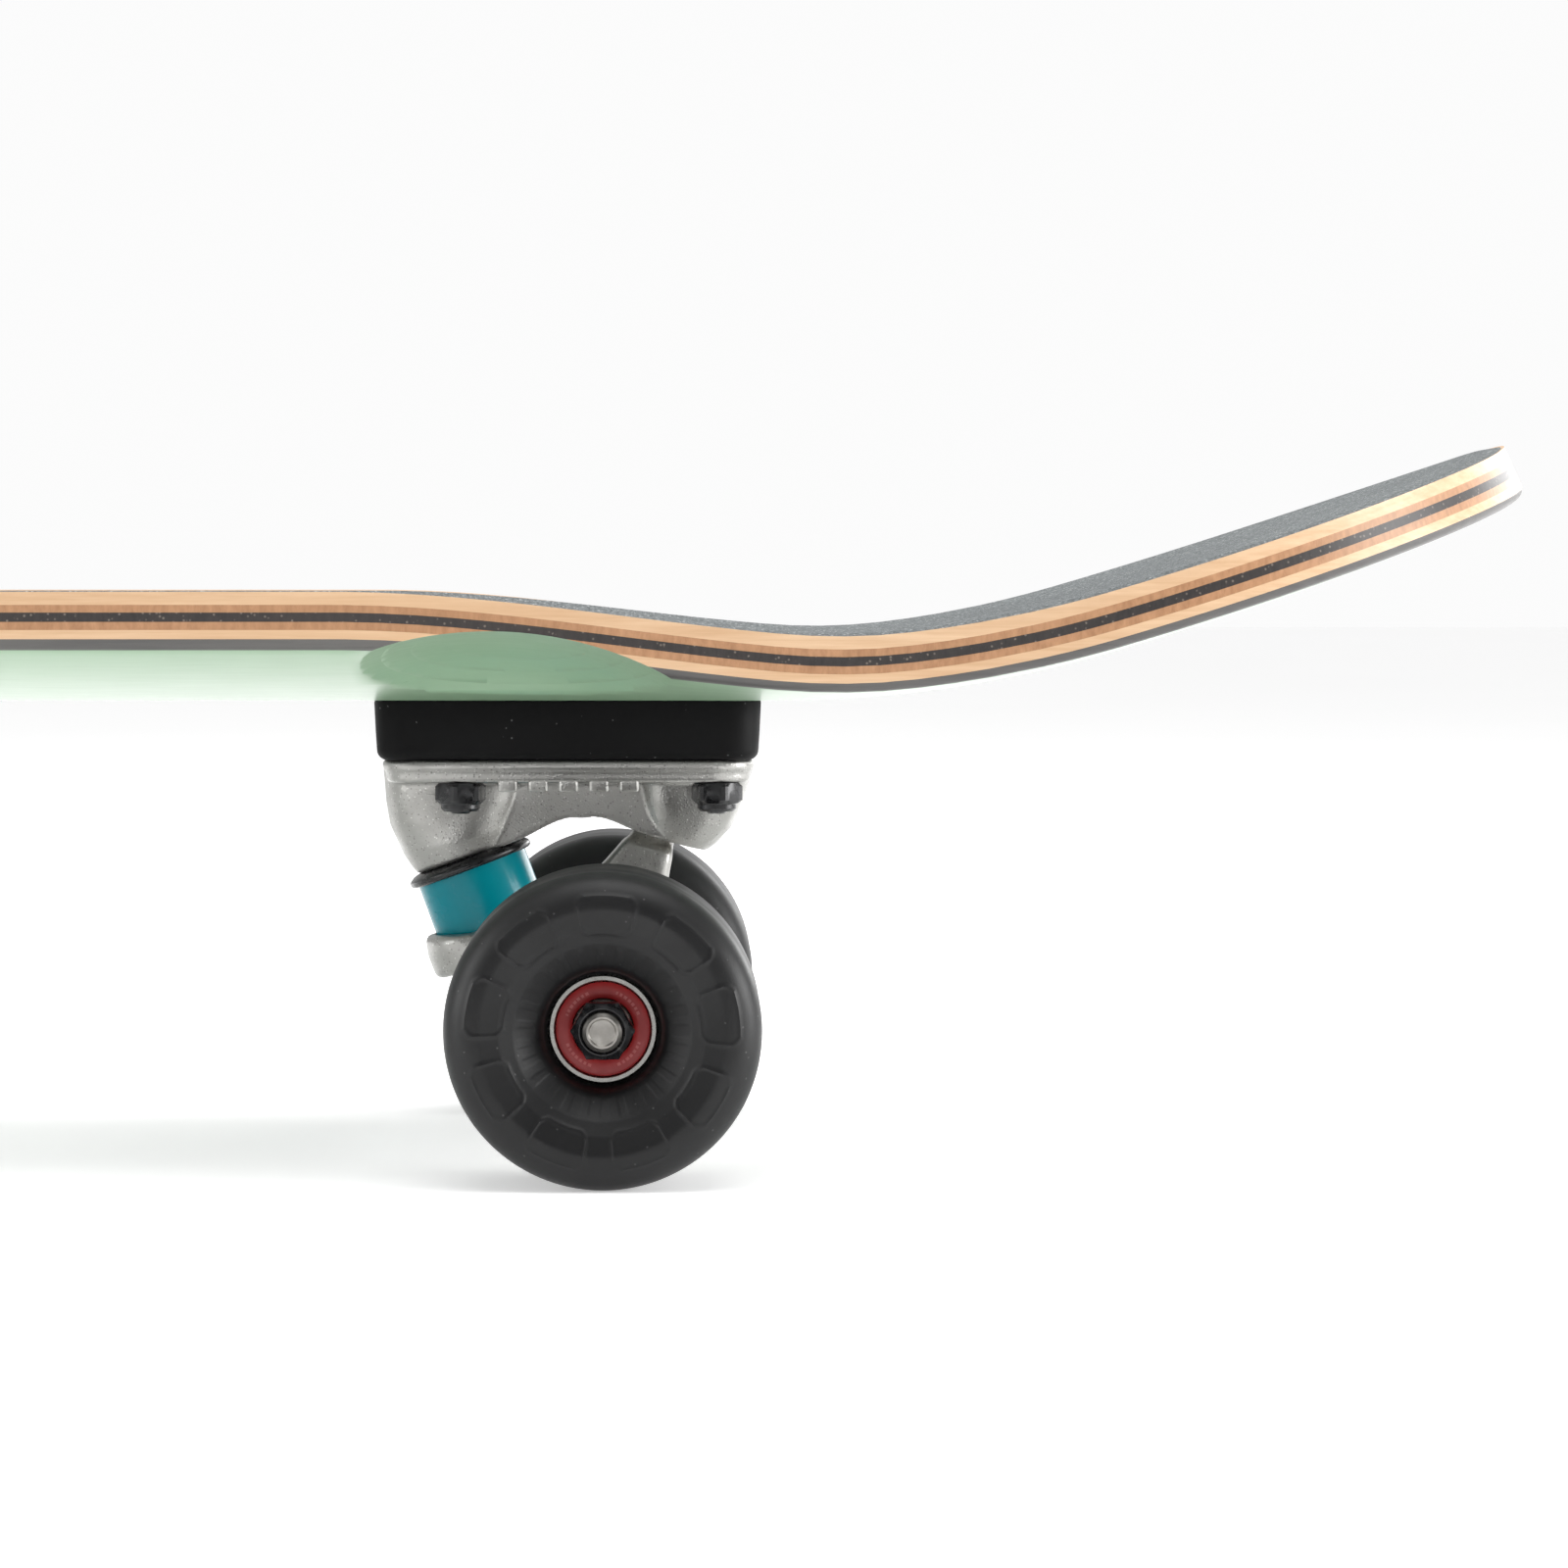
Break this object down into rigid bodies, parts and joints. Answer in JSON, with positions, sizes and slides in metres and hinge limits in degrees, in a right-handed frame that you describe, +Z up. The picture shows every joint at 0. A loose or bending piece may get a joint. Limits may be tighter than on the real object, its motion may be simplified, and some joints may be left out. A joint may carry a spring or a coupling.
{
  "type": "skateboard",
  "caption": "Cruiser skateboard: pressed maple deck with kicked tail and nose, wheel wells, thick risers, cast trucks that lean and soft wheels on bearings.",
  "frame": {"origin": "on the ground, under the middle of the board's length and width", "axes": "+X towards the tail, +Y across, +Z up"},
  "size_m": [0.762, 0.231, 0.15],
  "materials": {
    "maple": "satin",
    "grip": "rough",
    "riser": "matte",
    "cast": "cast",
    "cup": "matte",
    "steel": "brushed",
    "black_steel": "satin",
    "bearing_steel": "polished",
    "shield": "satin",
    "paint": "satin",
    "bushing": "glossy",
    "wheel": "matte"
  },
  "bodies": {
    "deck": {"deck": "maple", "grip_tape": "grip", "rear_riser_pad": "riser", "rear_baseplate": "cast", "rear_pivot_cup": "cup", "rear_kingpin": "steel", "rear_cup_washer_boardside": "black_steel", "rear_bushing_boardside": "bushing", "rear_bushing_roadside": "bushing", "rear_cup_washer_roadside": "black_steel", "rear_kingpin_nut": "black_steel", "rear_bolt_1": "black_steel", "rear_lock_nut_1": "black_steel", "rear_bolt_2": "black_steel", "rear_lock_nut_2": "black_steel", "rear_bolt_3": "black_steel", "rear_lock_nut_3": "black_steel", "rear_bolt_4": "black_steel", "rear_lock_nut_4": "black_steel", "front_riser_pad": "riser", "front_baseplate": "cast", "front_pivot_cup": "cup", "front_kingpin": "steel", "front_cup_washer_boardside": "black_steel", "front_bushing_boardside": "bushing", "front_bushing_roadside": "bushing", "front_cup_washer_roadside": "black_steel", "front_kingpin_nut": "black_steel", "front_bolt_1": "black_steel", "front_lock_nut_1": "black_steel", "front_bolt_2": "black_steel", "front_lock_nut_2": "black_steel", "front_bolt_3": "black_steel", "front_lock_nut_3": "black_steel", "front_bolt_4": "black_steel", "front_lock_nut_4": "black_steel"},
    "rear_hanger": {"rear_hanger": "cast", "rear_axle": "steel", "rear_left_bearing_spacer": "steel", "rear_left_axle_nut": "black_steel", "rear_right_bearing_spacer": "steel", "rear_right_axle_nut": "black_steel"},
    "rear_left_wheel": {"rear_left_wheel": "wheel", "rear_left_bearing_inner": "bearing_steel", "rear_left_bearing_outer": "bearing_steel"},
    "rear_right_wheel": {"rear_right_wheel": "wheel", "rear_right_bearing_inner": "bearing_steel", "rear_right_bearing_outer": "bearing_steel"},
    "front_hanger": {"front_hanger": "cast", "front_axle": "steel", "front_left_bearing_spacer": "steel", "front_left_axle_nut": "black_steel", "front_right_bearing_spacer": "steel", "front_right_axle_nut": "black_steel"},
    "front_left_wheel": {"front_left_wheel": "wheel", "front_left_bearing_inner": "bearing_steel", "front_left_bearing_outer": "bearing_steel"},
    "front_right_wheel": {"front_right_wheel": "wheel", "front_right_bearing_inner": "bearing_steel", "front_right_bearing_outer": "bearing_steel"}
  },
  "joints": [
    {"name": "rear_lean", "type": "hinge", "parent": "deck", "child": "rear_hanger", "pos_m": [0.1975, 0, 0.0705], "axis": [0.817, 0, 0.5766], "range_deg": [-15, 15], "stiffness_Nm_per_rad": 60, "deforming": ["rear_bushing_boardside", "rear_bushing_roadside"]},
    {"name": "rear_left_spin", "type": "hinge", "parent": "rear_hanger", "child": "rear_left_wheel", "pos_m": [0.1859, -0.0905, 0.0315], "axis": [0, 1, 0], "continuous": true},
    {"name": "rear_right_spin", "type": "hinge", "parent": "rear_hanger", "child": "rear_right_wheel", "pos_m": [0.1859, 0.0905, 0.0315], "axis": [0, 1, 0], "continuous": true},
    {"name": "front_lean", "type": "hinge", "parent": "deck", "child": "front_hanger", "pos_m": [-0.2362, 0, 0.0705], "axis": [-0.817, 0, 0.5766], "range_deg": [-15, 15], "stiffness_Nm_per_rad": 60, "deforming": ["front_bushing_boardside", "front_bushing_roadside"]},
    {"name": "front_left_spin", "type": "hinge", "parent": "front_hanger", "child": "front_left_wheel", "pos_m": [-0.2246, -0.0905, 0.0315], "axis": [0, 1, 0], "continuous": true},
    {"name": "front_right_spin", "type": "hinge", "parent": "front_hanger", "child": "front_right_wheel", "pos_m": [-0.2246, 0.0905, 0.0315], "axis": [0, 1, 0], "continuous": true}
  ]
}
